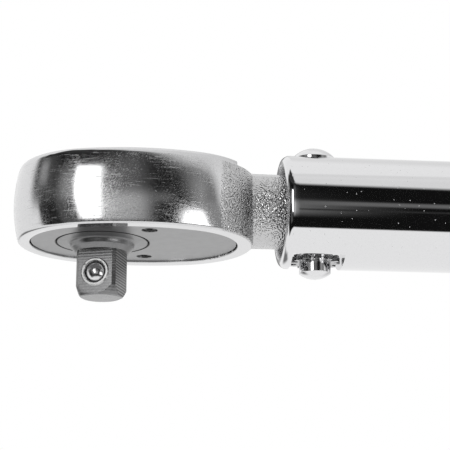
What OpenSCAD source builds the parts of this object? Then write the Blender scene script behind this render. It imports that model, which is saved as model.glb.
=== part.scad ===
// Click-type ratcheting torque wrench with a 1/4 inch square drive.
// Units are millimetres. +X runs from the drive to the handle, the square points to -Z.
// The origin is on the drive axis, on the shoulder where a socket comes to rest.

/* [Square drive] */
// Width across the flats of the square
square_w = 6.3; // [6.2:0.05:6.6]
// Length of the square below its shoulder
square_len = 7; // [6:0.1:9]
// Corner chamfer of the square
square_chamfer = 0.48; // [0.2:0.02:0.8]
// Chamfer round the tip of the square
tip_chamfer = 0.9; // [0.3:0.05:1.4]
// How far the square is turned from the wrench's long axis, in degrees
drive_turn = 20; // [0:1:45]
// Diameter of the ball that holds the socket
ball_d = 3.5; // [2.8:0.1:3.7]
// Distance of the ball below the shoulder
ball_drop = 3.55; // [2.6:0.05:4.6]
// How far the ball stands out of the face
ball_out = 0.75; // [0.4:0.05:1]
// Distance from the cover plate to the shoulder of the square
shoulder_drop = 1.7; // [1.4:0.1:4]
// Height of the round boss under the collar
boss_h = 1.05; // [0.6:0.05:1.2]
// Diameter of the round boss under the collar
boss_d = 9.5; // [9:0.1:12]
// Diameter of the collar that shows in the cover plate
collar_d = 14; // [12:0.1:14.6]

/* [Ratchet head] */
// Thickness of the head
head_h = 11.6; // [11.4:0.1:14]
// Radius of the head's front end at its rim
front_r = 12.9; // [12.4:0.1:15]
// Radius of the head's rear end at its rim
rear_r = 13; // [12.4:0.1:15]
// Distance from the drive axis to the centre of the rear end
rear_x = 10.1; // [9:0.1:12]
// Radius of the long sides of the head
side_r = 31; // [24:1:60]
// How far the side wall bulges at mid height
crown = 0.8; // [0.1:0.05:1.2]
// Edge rounding of the head's rim
rim_round = 0.35; // [0.1:0.05:0.6]
// Height of the shank's axis above the middle of the head
neck_rise = 0.2; // [0:0.05:0.4]
// Thickness of the cover plate
cover_t = 1.5; // [1.2:0.1:2]
// Depth of the cover plate inside the head's rim
cover_sink = 0.3; // [0:0.05:0.5]
// Width of the rim round the cover plate at the front
rim_w = 1.9; // [1.5:0.1:2.6]
// Extra width of the rim along the sides
rim_side_extra = 1; // [0:0.1:1.2]
// Thickness of the head's closed back
roof_t = 3; // [2.6:0.1:3.6]
// Diameter of the cover screws' heads
cover_screw_d = 2.25; // [2:0.05:2.6]
// Distance of the cover screws behind the drive axis
cover_screw_x = 6.8; // [6:0.1:7.5]
// Distance of the cover screws from the centre line
cover_screw_y = 8.3; // [8:0.1:8.8]

/* [Ratchet works] */
// Number of teeth on the ratchet wheel
teeth = 36; // [36:36:72]
// Tip diameter of the ratchet wheel
wheel_d = 16.4; // [16:0.1:16.8]
// Depth of a tooth
tooth_h = 0.55; // [0.4:0.05:0.6]
// Distance from the drive axis to the pawl's pin
pawl_x = 11.2; // [11:0.1:11.4]
// Diameter of the pawl's pin
pawl_pin_d = 1.8; // [1.4:0.1:2]
// Angle by which the pawl rocks to each side
pawl_rock = 5; // [4.5:0.1:5.2]
// Distance from the drive axis to the reversing lever's axis
lever_x = 15.6; // [15.4:0.1:16]
// Diameter of the reversing lever's barrel
barrel_d = 4.2; // [3.8:0.1:4.4]
// Angle of the reversing lever to each side
lever_throw = 30; // [20:1:35]
// Diameter of the reversing lever's hub
lever_hub_d = 8; // [6:0.1:9]
// Length of the reversing lever from its axis
lever_len = 6.6; // [5:0.1:7]
// Height of the reversing lever above the head
lever_h = 1.8; // [1.2:0.1:2.4]

/* [Shank and tube] */
// Diameter of the shank behind the head
shank_d = 11.66; // [10:0.02:12.4]
// Diameter of the shank's tail inside the tube
tail_d = 10.3; // [9:0.1:10.4]
// Outer diameter of the tube
tube_d = 17.7; // [17:0.1:19]
// Wall of the tube
tube_wall = 1.75; // [1.5:0.05:1.9]
// Distance from the drive axis to the tube's mouth
mouth_x = 27.6; // [25:0.1:29]
// Distance from the drive axis to the rear end of the tube
tube_end_x = 234; // [233:1:236]
// Distance from the drive axis to the pivot
pivot_x = 33; // [32.5:0.1:36]
// Diameter of the pivot pin
pivot_d = 5; // [4:0.1:5.4]
// Diameter of the pivot pin's domed head
pivot_head_d = 7.2; // [5.8:0.1:7.5]
// How far the pivot pin's head stands out of the tube
pin_proud = 1.58; // [1:0.05:2]
// Diameter of the pivot screw's domed head
pivot_screw_d = 4.9; // [4:0.1:6]
// How far the pivot screw's head stands out of the tube
screw_proud = 1.75; // [1.5:0.05:2.2]
// Outer diameter of the toothed lock washer
washer_d = 7.7; // [7:0.1:7.8]
// Width of the flat milled across the tube under the lock washer
spotface_d = 8.1; // [7.9:0.1:8.6]
// Depth of the flat under the lock washer
spot_depth = 1.2; // [0.8:0.05:1.3]
// Distance from the drive axis to the end of the shank's tail
tail_end_x = 74; // [70:1:80]

/* [Click works] */
// Edge length of the tilting block
block_w = 5; // [4:0.1:5.4]
// Depth of the pockets that the tilting block sits in
pocket_h = 0.7; // [0.4:0.05:0.9]
// Length of the push plunger without its spigot
plunger_len = 12; // [8:1:18]
// Wire diameter of the main spring
spring_wire = 2.4; // [1.8:0.1:2.6]
// Room between the main spring and the bore of the tube
spring_play = 0.4; // [0.3:0.05:0.9]
// Number of turns of the main spring
spring_turns = 18; // [12:1:22]
// Distance from the drive axis to the rear end of the main spring
spring_end_x = 163; // [150:1:164]
// Diameter of the thrust ball
thrust_ball_d = 5.5; // [4:0.1:6]
// Thread diameter of the adjusting screw
screw_d = 9; // [8:0.1:10]
// Length of the threaded plug in the tube
nut_len = 12; // [8:1:14]
// Distance from the drive axis to the middle of the threaded plug
nut_x = 192; // [190:1:194]

/* [Handle] */
// Outer diameter of the grip
grip_d = 22.5; // [21.5:0.1:26]
// Distance from the drive axis to the thimble's edge at the lowest setting
thimble_x = 158; // [156:1:162]
// Length of the smooth thimble in front of the grip
thimble_len = 14; // [10:1:20]
// Distance from the drive axis to the rear end of the grip
grip_end_x = 262; // [261:1:270]
// Thickness of the grip's end wall
end_wall = 6.5; // [5:0.5:7]
// Diameter of the lock knob
knob_d = 16; // [12:0.5:20]
// Length of the lock knob
knob_len = 10.5; // [8:0.5:14]
// Diameter of the balls that lock the adjusting screw
lock_ball_d = 5.5; // [5.3:0.1:5.8]
// Distance that the lock knob screws in
lock_travel = 0.75; // [0.4:0.05:0.8]

/* [Hidden] */
$fn = 64;

fit = 0.05;          // running clearance on a radius
seat = 0.02;         // clearance of a piece that is pressed or screwed in
gap = 0.15;          // clearance between faces that pass each other
eps = 0.01;          // overlap of cuts

// Heights, from the shoulder of the square upwards
plate_z = shoulder_drop;                // outer face of the cover plate
head_z = plate_z - cover_sink;          // underside of the head's rim
roof_z = head_z + head_h;               // back of the head
axis_z = head_z + head_h / 2 + neck_rise;   // axis of shank, tube and handle
cover_top = plate_z + cover_t;          // inner face of the cover plate
works_top = roof_z - roof_t;            // ceiling of the ratchet cavity

// Ratchet wheel
wheel_r = wheel_d / 2;
root_r = wheel_r - tooth_h;
wheel_z0 = cover_top + 0.1;
wheel_z1 = works_top - 0.3;
journal_r = 4.5;
bearing_depth = 2;                      // blind holes in the cavity's ceiling
journal_z1 = works_top + bearing_depth - 0.2;
tooth_gap = 0.12;                       // radial play between pawl and wheel
pawl_bare_y = 4;                        // the pawl has teeth beyond this distance only
pawl_half_w = 6.6;                      // half the width of the pawl
pawl_z0 = cover_top + 0.2;
pawl_z1 = works_top - 0.3;
barrel_r = barrel_d / 2;
scoop_r = barrel_r + 0.8;               // hollow in the pawl's back
works_z = (cover_top + works_top) / 2;  // height of the pawl's plunger
cover_thread_r = 0.8;                   // thread of the cover screws

// Shank, tube and what the tube holds
tube_r = tube_d / 2;
tube_in_r = tube_r - tube_wall;
shank_r = shank_d / 2;
tail_r = tail_d / 2;
spot_z = tube_r - spot_depth;           // flat under the lock washer
pin_flat_z = sqrt(pow(tube_r, 2) - pow(pivot_head_d / 2, 2)); // flat under the pin's head
washer_t = 0.5;
pivot_thread_r = 1.5;                   // thread of the pivot screw
pivot_thread_len = 7;
nut_pin_r = 1.25;                       // pins that hold the threaded plug
block_x0 = tail_end_x - pocket_h;
block_x1 = block_x0 + block_w;
plunger_x0 = block_x1 - pocket_h;
plunger_x1 = plunger_x0 + plunger_len;
spring_d = 2 * (tube_in_r - spring_play);   // outer diameter of the main spring
spring_r = spring_d / 2;
spring_in_r = spring_r - spring_wire;
spigot_r = spring_in_r - 0.4;
spigot_len = 4;
seat_len = 5;
seat_x1 = spring_end_x + seat_len;
ball_sink = 1.2;                        // how deep the thrust ball sits in each cup
thrust_r = thrust_ball_d / 2;
thrust_x = seat_x1 + thrust_r - ball_sink;
screw_x0 = thrust_x + thrust_r - ball_sink;
nut_x0 = nut_x - nut_len / 2;
nut_x1 = nut_x + nut_len / 2;

// Handle
sleeve_in_r = tube_r + gap;
grip_r = grip_d / 2;
guide_x = thimble_x + 6;                // plastic ring between sleeve and tube
guide_len = 4.8;
guide_lip = 0.65;
set_screw_x = grip_end_x - 3;
set_screw_r = 1.5;
set_screw_len = 5.5;
wall_x0 = grip_end_x - end_wall;
lock_collar_x0 = 219;
lock_collar_x1 = 232;
lock_ball_x = 226;
lock_r = lock_ball_d / 2;
rod_slope = 0.3125;                     // cone on the rod's tip that spreads the balls
lock_ball_z = tube_in_r - lock_r - lock_travel * rod_slope - seat;   // height of a loose ball
// the cone fills the space between the balls; its ends follow its middle radius
rod_cone_r = lock_ball_z - lock_r * sqrt(1 + rod_slope * rod_slope) - seat;
rod_taper = 0.46;
rod_r = rod_cone_r * (1 + rod_taper);
rod_tip_r = rod_cone_r * (1 - rod_taper);
rod_cone_len = (rod_r - rod_tip_r) / rod_slope;
rod_x0 = lock_ball_x - rod_cone_len / 2;
stud_r = rod_r + 0.9;                   // stud of the lock knob
stud_len = 8;
knob_gap = 0.9;                         // space between the grip and the knob
knob_flutes = 20;
flute_r = 1.1;                          // radius of a flute and how deep it cuts
flute_depth = 0.5;
stem_r = stud_r + 1.5;                  // rear shaft of the adjusting screw

// ---- helpers ----

// Turn a shape that is drawn along +Z so that it lies along +X on the tube's axis
module along_x(x = 0) {
    translate([x, 0, axis_z]) rotate([0, 90, 0]) children();
}

// Cylinder on the tube's axis from one X to another
module bar(x0, x1, r) {
    along_x(x0) cylinder(r = r, h = x1 - x0);
}

// Tube on the tube's axis from one X to another
module ring(x0, x1, r_out, r_in) {
    difference() {
        bar(x0, x1, r_out);
        bar(x0 - eps, x1 + eps, r_in);
    }
}

// Centre of a side arc that touches the front and rear arcs from outside
function side_centre(rf, rr, dist, rs) =
    let (df = rs - rf, dr = rs - rr, x = (dist * dist + df * df - dr * dr) / (2 * dist))
    [x, -sqrt(df * df - x * x)];

// Points of an arc from angle a to angle b
function arc(c, r, a, b, n) = [for (i = [0:n - 1])
    let (t = a + (b - a) * i / n) [c[0] + r * cos(t), c[1] + r * sin(t)]];

// Oval outline: a front arc, a rear arc and two long side arcs, all moved out by d
function oval(rf, rr, x0, x1, rs, d = 0) =
    let (
        c = side_centre(rf, rr, x1 - x0, rs),
        up = [x0 + c[0], c[1]],
        down = [x0 + c[0], -c[1]],
        a_rear = atan2(-c[1], x1 - x0 - c[0]),
        a_front = atan2(-c[1], -c[0])
    )
    concat(
        arc([x1, 0], rr + d, -a_rear, a_rear, 22),
        arc(up, rs + d, a_rear, a_front, 14),
        arc([x0, 0], rf + d, a_front, 360 - a_front, 26),
        arc(down, rs + d, 360 - a_front, 360 - a_rear, 14)
    );

// Side wall of the head: how far it stands out at height z above the underside
function wall_out(z) =
    let (u = 2 * z / head_h - 1, edge = min(z, head_h - z))
    crown * (1 - u * u)
    - (edge < rim_round ? rim_round - sqrt(pow(rim_round, 2) - pow(rim_round - edge, 2)) : 0);

module head_outline(d = 0) {
    polygon(oval(front_r, rear_r, 0, rear_x, side_r, d));
}

module cover_outline(d = 0) {
    polygon(oval(front_r - rim_w - rim_side_extra / 2, rear_r - rim_w - rim_side_extra / 2,
        -rim_side_extra / 2, rear_x, side_r - rim_w - rim_side_extra, d));
}

// Ratchet wheel outline; both radii can be raised for a cutter
function wheel_points(r_tip, r_root) = [for (i = [0:teeth - 1], p = [0:3])
    let (pitch = 360 / teeth, a = i * pitch + [0.4, 0.6, 0.92, 1.08][p] * pitch)
    (p < 2 ? r_tip : r_root) * [cos(a), sin(a)]];

// Turned fillet that runs from the head into the shank: distance and radius
flare_r = 3.2;                          // fillet between head and shank
flare_x = 23.6;                         // where the shank becomes plain
function flare(n) = [for (i = [0:n]) let (t = 70 * i / n)
    [flare_x - flare_r * sin(t), shank_r + flare_r * (1 - cos(t))]];

// ---- ratchet head ----

ledge_x = 19.9;
ledge_h = 0.85;

module head_blank() {
    levels = [0, 0.12, 0.35, 1.5, 3, 4.5];
    heights = concat(levels, [head_h / 2], [for (i = [5:-1:0]) head_h - levels[i]]);
    translate([0, 0, head_z]) hull()
        for (z = heights)
            translate([0, 0, min(z, head_h - eps)]) linear_extrude(eps) head_outline(wall_out(z));
}

// Shank with its flare; the flare is no thicker than the head
module shank() {
    intersection() {
        along_x() rotate_extrude()
            polygon(concat([[0, rear_x]], [for (p = flare(6)) [p[1], p[0]]], [[0, flare_x]]));
        translate([0, -front_r, head_z]) cube([flare_x, 2 * front_r, head_h]);
    }
    along_x() rotate_extrude() polygon([
        [0, flare_x - eps], [shank_r, flare_x - eps], [shank_r, pivot_x + 5],
        [tail_r, pivot_x + 8], [tail_r, tail_end_x - 0.8], [tail_r - 0.8, tail_end_x],
        [0, tail_end_x]]);
}

// Cavity for the pawl, wide enough for it to rock
module pawl_pocket() {
    translate([0, -pawl_half_w - 0.6, cover_top - eps])
        cube([lever_x - 2.2, 2 * (pawl_half_w + 0.6), works_top - cover_top + eps]);
    translate([lever_x, 0, cover_top - eps])
        cylinder(r = scoop_r + 0.3, h = works_top - cover_top + eps);
}

module ratchet_head() color("silver") difference() {
    union() {
        difference() {
            head_blank();
            // low ledge at the rear of the head's back
            translate([ledge_x, -front_r, roof_z - ledge_h])
                cube([front_r, 2 * front_r, ledge_h + 1]);
        }
        shank();
    }
    // pocket for the cover plate
    translate([0, 0, head_z - 1]) linear_extrude(1 + cover_sink + cover_t) cover_outline(0.12);
    // cavity for the wheel and blind bearing for its journal
    translate([0, 0, cover_top - eps])
        cylinder(r = wheel_r + 0.3, h = works_top - cover_top + eps);
    translate([0, 0, works_top - eps]) cylinder(r = journal_r + fit, h = bearing_depth + eps);
    pawl_pocket();
    // bore for the reversing lever's barrel
    translate([lever_x, 0, works_top - 1]) cylinder(r = barrel_r + fit, h = roof_t + 2);
    // hole for the pawl's pin
    translate([pawl_x, 0, works_top - eps]) cylinder(d = pawl_pin_d + 2 * seat, h = bearing_depth);
    // tapped holes for the cover screws
    for (s = [-1, 1]) translate([cover_screw_x, s * cover_screw_y, cover_top - eps])
        cylinder(r = cover_thread_r + seat, h = 4);
    // bore for the pivot pin
    translate([pivot_x, 0, axis_z - shank_d]) cylinder(d = pivot_d + 2 * fit, h = 2 * shank_d);
    // pocket for the tilting block
    translate([block_x0, -block_w / 2 - 0.3, axis_z - block_w / 2 - gap])
        cube([pocket_h + 1, block_w + 0.6, block_w + 2 * gap]);
}

module cover_plate() color("darkgray") difference() {
    translate([0, 0, plate_z]) linear_extrude(cover_t) cover_outline();
    translate([0, 0, plate_z - 1]) cylinder(d = collar_d + 2 * gap, h = cover_t + 2);
    for (s = [-1, 1]) translate([cover_screw_x, s * cover_screw_y, 0]) {
        translate([0, 0, plate_z - 1]) cylinder(d = cover_screw_d + 0.1, h = 2);
        translate([0, 0, plate_z]) cylinder(r = cover_thread_r + fit, h = cover_t + 1);
    }
}

// Two socket-head screws that hold the cover plate
module cover_screws() color("dimgray")
    for (s = [-1, 1]) translate([cover_screw_x, s * cover_screw_y, 0]) difference() {
        union() {
            translate([0, 0, plate_z + 0.25]) cylinder(d = cover_screw_d, h = 0.75);
            translate([0, 0, plate_z + 0.8]) cylinder(r = cover_thread_r, h = cover_t + 2.7);
        }
        translate([0, 0, plate_z]) cylinder(r = 0.65, h = 0.75, $fn = 6);
    }

// ---- drive ----

// Square bar with chamfered corners and a chamfered tip
module square_bar() {
    w = square_w / 2;
    c = square_chamfer;
    intersection() {
        translate([0, 0, -square_len]) linear_extrude(square_len + 0.5) polygon([
            [w, c - w], [w, w - c], [w - c, w], [c - w, w],
            [-w, w - c], [-w, c - w], [c - w, -w], [w - c, -w]]);
        translate([0, 0, -square_len]) rotate_extrude() polygon([
            [0, 0], [w * 1.2 - tip_chamfer, 0], [w * 1.2 - tip_chamfer * 0.5, tip_chamfer * 0.25],
            [w * 1.2, tip_chamfer], [w * 1.42, tip_chamfer * 2.2],
            [w * 1.42, square_len + 0.5], [0, square_len + 0.5]]);
    }
}

// Turned boss between square and wheel: a cone, a rounded edge and the flat collar
module drive_boss() {
    r = boss_d / 2;
    z = shoulder_drop - boss_h;
    rotate_extrude() polygon([
        [0, 0], [square_w * 0.65, 0], [r - 0.12, z - 0.05], [r, z + 0.1], [r + 0.2, plate_z - 0.3],
        [r + 0.75, plate_z - 0.06], [collar_d / 2, plate_z],
        [collar_d / 2, cover_top + 0.2], [0, cover_top + 0.2]]);
}

module drive_gear() color("slategray") rotate([0, 0, -drive_turn]) difference() {
    union() {
        square_bar();
        drive_boss();
        translate([0, 0, wheel_z0]) rotate([0, 0, drive_turn])
            linear_extrude(wheel_z1 - wheel_z0) polygon(wheel_points(wheel_r, root_r));
        translate([0, 0, wheel_z1 - eps]) cylinder(r = journal_r, h = journal_z1 - wheel_z1);
        // staked ring that holds the ball in
        translate([0, -square_w / 2, -ball_drop]) rotate([90, 0, 0]) rotate_extrude()
            polygon([[ball_d / 2 - 0.1, -0.3], [ball_d / 2 + 0.5, -0.3], [ball_d / 2 + 0.45, 0],
                [ball_d / 2 + 0.3, 0.24], [ball_d / 2 + 0.02, 0.24], [ball_d / 2 - 0.1, 0.12]]);
    }
    // bore for the ball and its spring, with a lip at the face
    translate([0, -square_w / 2 + 0.15, -ball_drop]) rotate([-90, 0, 0])
        cylinder(r = ball_d / 2 + fit, h = square_w - 1.4);
    translate([0, -square_w / 2 - 1, -ball_drop]) rotate([-90, 0, 0])
        cylinder(r = ball_d / 2 - 0.15, h = 1.5);
}

module drive_ball() color("gainsboro") rotate([0, 0, -drive_turn])
    translate([0, -square_w / 2 - ball_out + ball_d / 2, -ball_drop]) sphere(d = ball_d);

module drive_ball_spring() color("gray") rotate([0, 0, -drive_turn])
    translate([0, -square_w / 2 - ball_out + ball_d + 0.02, -ball_drop]) rotate([-90, 0, 0])
        difference() {
            cylinder(r = ball_d / 2 - 0.3, h = square_w - 1.25 - ball_d + ball_out - 0.05);
            translate([0, 0, -1]) cylinder(r = ball_d / 2 - 0.65, h = square_w);
        }

// ---- ratchet works ----

// Double-ended pawl in its middle position
module pawl_blank() {
    difference() {
        intersection() {
            translate([0, -pawl_half_w]) square([lever_x - 2.6, 2 * pawl_half_w]);
            translate([lever_x - 10.6, 0]) circle(r = 8.4);
        }
        for (s = [-1, 1]) intersection() {
            translate([0, s > 0 ? 0 : -20]) square([20, 20]);
            translate([pawl_x, 0]) rotate(-s * pawl_rock) translate([-pawl_x, 0]) {
                polygon(wheel_points(wheel_r + tooth_gap, root_r + tooth_gap));
                intersection() {
                    circle(r = wheel_r + tooth_gap);
                    translate([0, -pawl_bare_y]) square([wheel_d, 2 * pawl_bare_y]);
                }
            }
        }
        translate([lever_x, 0]) circle(r = scoop_r);
        translate([pawl_x, 0]) circle(d = pawl_pin_d + 2 * fit);
    }
}

module pawl() color("gray") translate([pawl_x, 0, pawl_z0]) rotate([0, 0, -pawl_rock])
    translate([-pawl_x, 0, 0]) linear_extrude(pawl_z1 - pawl_z0) pawl_blank();

module pawl_pin() color("gainsboro") translate([pawl_x, 0, cover_top + 0.05])
    cylinder(d = pawl_pin_d, h = journal_z1 - cover_top);

// Groove for the clip, in the lever's barrel
clip_z = works_top - 0.7;
clip_t = 0.5;
plunger_r = 0.8;

module reverse_lever() color("silver") translate([lever_x, 0, 0]) rotate([0, 0, lever_throw])
    difference() {
        union() {
            // barrel
            translate([0, 0, cover_top + 0.3])
                cylinder(r = barrel_r, h = roof_z + 0.5 - cover_top - 0.3);
            // hub and thumb tab
            translate([0, 0, roof_z + 0.1]) hull() {
                cylinder(d = lever_hub_d, h = lever_h - 0.5, $fn = 32);
                cylinder(d = lever_hub_d - 1.6, h = lever_h, $fn = 32);
            }
            translate([0, 0, roof_z + 0.1]) hull() {
                translate([0, -2.6, 0]) cube([1, 5.2, lever_h - 0.4]);
                translate([lever_len - 1.2, 0, 0]) cylinder(r = 1.2, h = lever_h, $fn = 32);
                translate([lever_len - 1.8, -1.6, 0]) cube([0.6, 3.2, lever_h]);
            }
        }
        // groove for the clip
        translate([0, 0, clip_z - 0.05]) difference() {
            cylinder(r = barrel_r + 1, h = clip_t + 0.1);
            translate([0, 0, -1]) cylinder(r = barrel_r - 0.5, h = clip_t + 2);
        }
        // cross bore for the plunger and its spring
        translate([1.2, 0, works_z]) rotate([0, -90, 0]) cylinder(r = plunger_r + fit, h = 6);
    }

module lever_clip() color("dimgray") translate([lever_x, 0, clip_z]) rotate([0, 0, lever_throw])
    difference() {
        cylinder(r = scoop_r - 0.45, h = clip_t);
        translate([0, 0, -1]) cylinder(r = barrel_r - 0.45, h = 3);
        translate([0, -barrel_r + 0.6, -1]) cube([5, 2 * barrel_r - 1.2, 3]);
    }

plunger_tip = scoop_r - 0.08;
module pawl_plunger() color("gainsboro") translate([lever_x, 0, works_z])
    rotate([0, 0, lever_throw]) {
        translate([-0.5, 0, 0]) rotate([0, -90, 0])
            cylinder(r = plunger_r, h = plunger_tip - plunger_r - 0.5);
        translate([plunger_r - plunger_tip, 0, 0]) sphere(r = plunger_r);
    }

module pawl_plunger_spring() color("gray") translate([lever_x, 0, works_z])
    rotate([0, 0, lever_throw]) translate([1.15, 0, 0]) rotate([0, -90, 0]) difference() {
        cylinder(r = plunger_r - 0.15, h = 1.6);
        translate([0, 0, -1]) cylinder(r = plunger_r - 0.4, h = 4);
    }

// ---- tube and pivot ----

lip_x = 1.25;                            // rounding of the tube's mouth, along and across
lip_r = 0.95;
module tube() color("lightgray") difference() {
    along_x() rotate_extrude() polygon(concat(
        [[tube_in_r, mouth_x + 0.5], [tube_in_r + 0.35, mouth_x]],
        [for (i = [0:8]) let (t = 90 * i / 8)
            [tube_r - lip_r + lip_r * sin(t), mouth_x + lip_x - lip_x * cos(t)]],
        [[tube_r, tube_end_x - 0.6], [tube_r - 0.6, tube_end_x], [tube_in_r, tube_end_x]]));
    // pivot hole with the flats for the pin's head and for the lock washer
    translate([pivot_x, 0, axis_z - tube_d]) cylinder(d = pivot_d + 2 * seat, h = 2 * tube_d);
    translate([pivot_x, 0, axis_z + pin_flat_z]) cylinder(d = pivot_head_d + 0.2, h = 5);
    translate([pivot_x - spotface_d / 2, -tube_r, axis_z - spot_z - tube_r])
        cube([spotface_d, tube_d, tube_r]);
    // holes for the pins that hold the threaded plug
    translate([nut_x, 0, axis_z - tube_d]) cylinder(r = nut_pin_r + seat, h = 2 * tube_d);
}

// Domed disc, flat side down
module dome(d, h, edge) {
    rise = h - edge;
    r = (pow(d / 2, 2) + rise * rise) / (2 * rise);
    rotate_extrude() intersection() {
        translate([0, h - r]) circle(r = r, $fn = 96);
        square([d / 2, h]);
    }
}

module pivot_pin() color("gainsboro") difference() {
    union() {
        translate([pivot_x, 0, axis_z + pin_flat_z])
            dome(pivot_head_d, tube_r + pin_proud - pin_flat_z, 0.5);
        translate([pivot_x, 0, axis_z - spot_z + 0.05])
            cylinder(d = pivot_d, h = spot_z + pin_flat_z);
    }
    translate([pivot_x, 0, axis_z - spot_z - 1])
        cylinder(r = pivot_thread_r + seat, h = pivot_thread_len + 1);
}

module pivot_screw() color("gray") {
    translate([pivot_x, 0, axis_z - spot_z - washer_t]) mirror([0, 0, 1])
        dome(pivot_screw_d, spot_depth + screw_proud - washer_t, 1.6);
    translate([pivot_x, 0, axis_z - spot_z - washer_t - 0.2])
        cylinder(r = pivot_thread_r, h = pivot_thread_len);
}

// Washer with teeth round its outside
module lock_washer() color("dimgray") translate([pivot_x, 0, axis_z - spot_z - washer_t])
    linear_extrude(washer_t - 0.02) difference() {
        union() {
            circle(d = washer_d - 1.8);
            for (i = [0:11]) rotate(i * 30) translate([0, -0.42]) square([washer_d / 2, 0.84]);
        }
        circle(r = pivot_thread_r + fit);
    }

// ---- click works ----

module tilt_block() color("gainsboro")
    translate([block_x0, -block_w / 2, axis_z - block_w / 2]) cube(block_w);

module push_plunger() color("gray") difference() {
    union() {
        bar(plunger_x0, plunger_x1, tube_in_r - 0.1);
        bar(plunger_x1 - eps, plunger_x1 + spigot_len, spigot_r);
    }
    translate([plunger_x0 - 1, -block_w / 2 - 0.3, axis_z - block_w / 2 - gap])
        cube([1 + pocket_h, block_w + 0.6, block_w + 2 * gap]);
}

// Coil spring along +X: an unbroken round wire, six-sided, whose end turns close up
coil_steps = 8;
coil_sides = 6;
coil_r = spring_r - spring_wire / 2;
coil_len = spring_end_x - plunger_x1 - spring_wire;
function coil_x(t) = let (e = 1.5 / spring_turns, p = (spring_wire + 0.45) / coil_len)
    t < e ? t * spring_turns * p
    : t > 1 - e ? 1 - (1 - t) * spring_turns * p
    : 1.5 * p + (t - e) / (1 - 2 * e) * (1 - 3 * p);
function coil_point(i, j) = let (
        a = 360 * i / coil_steps,
        b = 360 * j / coil_sides,
        r = coil_r + spring_wire / 2 * cos(b),
        x = plunger_x1 + spring_wire / 2 + coil_len * coil_x(i / (coil_steps * spring_turns)))
    [x + spring_wire / 2 * sin(b), r * cos(a), axis_z + r * sin(a)];
module main_spring() color("dimgray") {
    n = coil_steps * spring_turns;
    points = [for (i = [0:n], j = [0:coil_sides - 1]) coil_point(i, j)];
    sides = [for (i = [0:n - 1], j = [0:coil_sides - 1], k = [0:1])
        let (a = i * coil_sides + j, b = i * coil_sides + (j + 1) % coil_sides)
        k == 0 ? [a, b, b + coil_sides] : [a, b + coil_sides, a + coil_sides]];
    polyhedron(points, concat(sides,
        [for (j = [1:coil_sides - 2]) [0, j + 1, j]],
        [for (j = [1:coil_sides - 2]) [n * coil_sides, n * coil_sides + j, n * coil_sides + j + 1]]));
}

module spring_seat() color("gray") difference() {
    union() {
        bar(spring_end_x, seat_x1, tube_in_r - 0.1);
        bar(spring_end_x - spigot_len, spring_end_x + eps, spigot_r);
    }
    translate([thrust_x, 0, axis_z]) sphere(r = thrust_r + seat);
}

module thrust_ball() color("gainsboro") translate([thrust_x, 0, axis_z]) sphere(r = thrust_r);

module adjusting_screw() color("darkgray") difference() {
    union() {
        bar(screw_x0, lock_collar_x0 + 1, screw_d / 2);
        bar(lock_collar_x0, lock_collar_x1, tube_in_r - 0.1);
        bar(lock_collar_x1 - eps, grip_end_x, stem_r);
    }
    translate([thrust_x, 0, axis_z]) sphere(r = thrust_r + seat);
    // bore for the lock rod, wider where the knob's stud screws in
    bar(lock_ball_x - 5, grip_end_x + 1, rod_r + fit);
    bar(grip_end_x - stud_len - 1, grip_end_x + 1, stud_r + fit);
    // cross bore for the lock balls
    translate([lock_ball_x, 0, axis_z - tube_r]) cylinder(r = lock_r + fit, h = 2 * tube_r);
}

module screw_nut() color("dimgray") difference() {
    bar(nut_x0, nut_x1, tube_in_r - seat);
    bar(nut_x0 - 1, nut_x1 + 1, screw_d / 2 + fit);
    translate([nut_x, 0, axis_z - tube_r]) cylinder(r = nut_pin_r + seat, h = 2 * tube_r);
}

module nut_pins() color("gray") for (s = [-1, 1])
    translate([nut_x, 0, axis_z + s * (screw_d / 2 + 0.35)]) mirror([0, 0, s < 0 ? 1 : 0])
        cylinder(r = nut_pin_r, h = tube_r - screw_d / 2 - 0.55);

// ---- handle ----

module handle_sleeve() color("silver") difference() {
    along_x() rotate_extrude() polygon([
        [sleeve_in_r, thimble_x], [sleeve_in_r + 0.35, thimble_x],
        [grip_r - 0.9, thimble_x + 6], [grip_r - 0.9, thimble_x + thimble_len - 1],
        [grip_r - 0.3, thimble_x + thimble_len],
        [grip_r, thimble_x + thimble_len + 0.6], [grip_r, grip_end_x - 8],
        [grip_r - 0.8, grip_end_x - 7.2], [grip_r - 0.8, grip_end_x - 5.2],
        [grip_r, grip_end_x - 4.4], [grip_r, grip_end_x - 1.6],
        [grip_r - 1.6, grip_end_x], [stem_r + seat, grip_end_x],
        [stem_r + seat, wall_x0], [sleeve_in_r, wall_x0]]);
    // groove for the guide ring
    bar(guide_x - gap, guide_x + guide_len + gap, sleeve_in_r + guide_lip + fit);
    // holes for the set screws
    for (s = [-1, 1]) translate([set_screw_x, 0, axis_z]) rotate([s * 90, 0, 0])
        cylinder(r = set_screw_r + seat, h = grip_d);
}

module guide_ring() color("whitesmoke")
    ring(guide_x, guide_x + guide_len, sleeve_in_r + guide_lip, tube_r + fit);

module handle_set_screws() color("dimgray") for (s = [-1, 1])
    translate([set_screw_x, 0, axis_z]) rotate([s * 90, 0, 0]) difference() {
        translate([0, 0, stem_r + fit]) cylinder(r = set_screw_r, h = set_screw_len);
        translate([0, 0, stem_r + set_screw_len - 1.5])
            cylinder(r = set_screw_r * 0.57, h = 3, $fn = 6);
    }

module lock_rod() color("gainsboro") along_x() rotate_extrude() polygon([
    [0, rod_x0], [rod_tip_r, rod_x0], [rod_r, rod_x0 + rod_cone_len],
    [rod_r, grip_end_x - stud_len], [0, grip_end_x - stud_len]]);

module lock_ball_upper() color("gainsboro")
    translate([lock_ball_x, 0, axis_z + lock_ball_z]) sphere(r = lock_r);
module lock_ball_lower() color("gainsboro")
    translate([lock_ball_x, 0, axis_z - lock_ball_z]) sphere(r = lock_r);

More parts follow.
